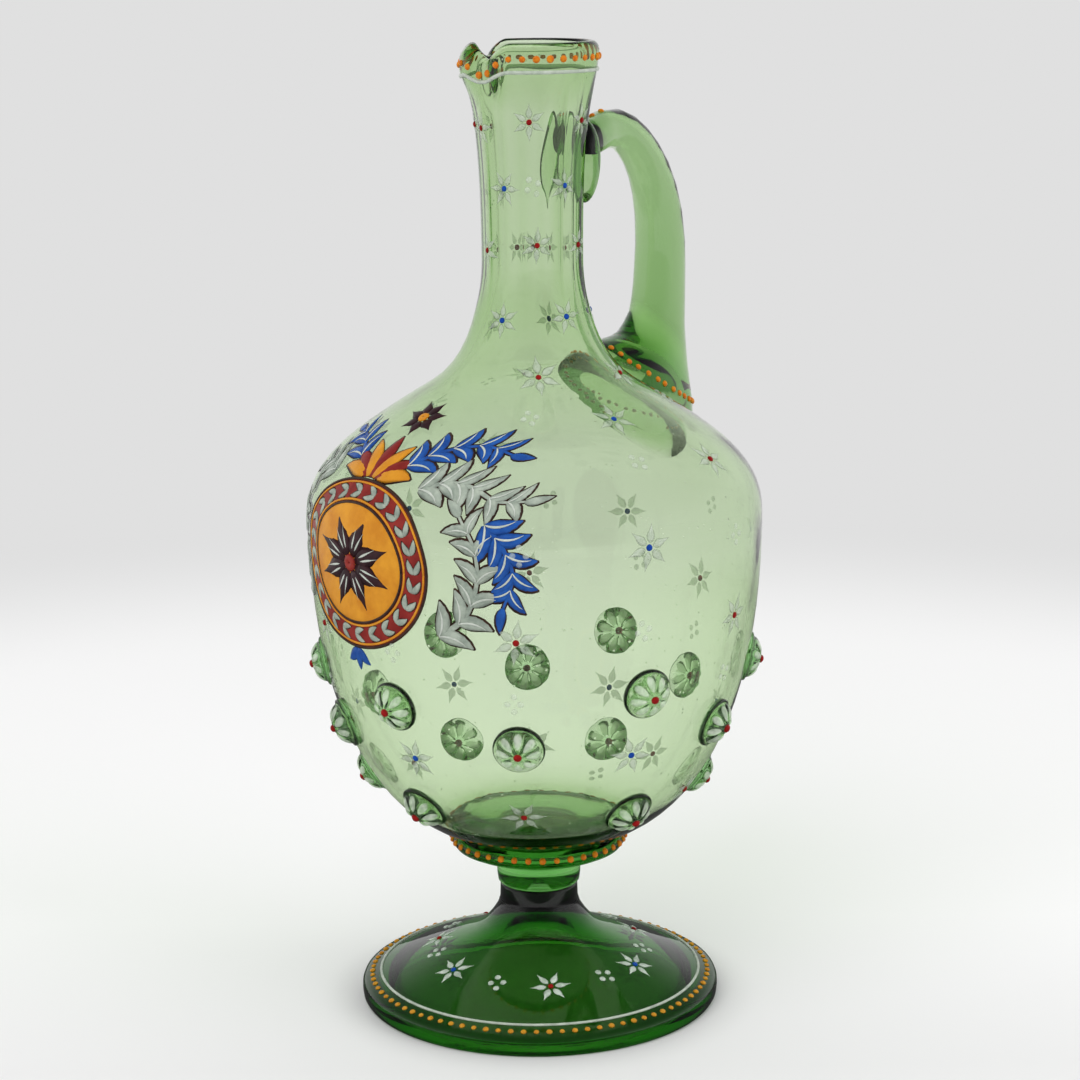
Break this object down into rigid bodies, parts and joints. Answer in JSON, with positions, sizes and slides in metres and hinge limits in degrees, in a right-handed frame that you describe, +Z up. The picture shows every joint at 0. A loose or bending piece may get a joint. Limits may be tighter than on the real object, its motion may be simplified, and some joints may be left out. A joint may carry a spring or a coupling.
{
  "type": "footed glass carafe",
  "caption": "Footed carafe of blown glass with a pinched pouring lip, a faceted neck, a hollow handle and applied rosettes round the lower body.",
  "frame": {"origin": "centre of the resting ring under the foot, on the carafe's axis", "axes": "+Z up along the axis of body and neck, +X towards the handle"},
  "size_m": [0.137, 0.1332, 0.285],
  "materials": {
    "pale_glass": "clear pale green blown glass with enamel work",
    "deep_glass": "clear deep green glass with a ring of enamel beads",
    "handle_glass": "clear green glass",
    "rosette_glass": "deep green glass, petals washed with pale enamel"
  },
  "bodies": {
    "root": {"vessel": "pale_glass", "collar": "deep_glass", "foot": "deep_glass", "handle": "handle_glass", "prunt_upper_1": "rosette_glass", "prunt_upper_2": "rosette_glass", "prunt_upper_3": "rosette_glass", "prunt_upper_4": "rosette_glass", "prunt_upper_5": "rosette_glass", "prunt_upper_6": "rosette_glass", "prunt_middle_1": "rosette_glass", "prunt_middle_2": "rosette_glass", "prunt_middle_3": "rosette_glass", "prunt_middle_4": "rosette_glass", "prunt_middle_5": "rosette_glass", "prunt_middle_6": "rosette_glass", "prunt_lower_1": "rosette_glass", "prunt_lower_2": "rosette_glass", "prunt_lower_3": "rosette_glass", "prunt_lower_4": "rosette_glass", "prunt_lower_5": "rosette_glass", "prunt_lower_6": "rosette_glass"}
  },
  "joints": []
}
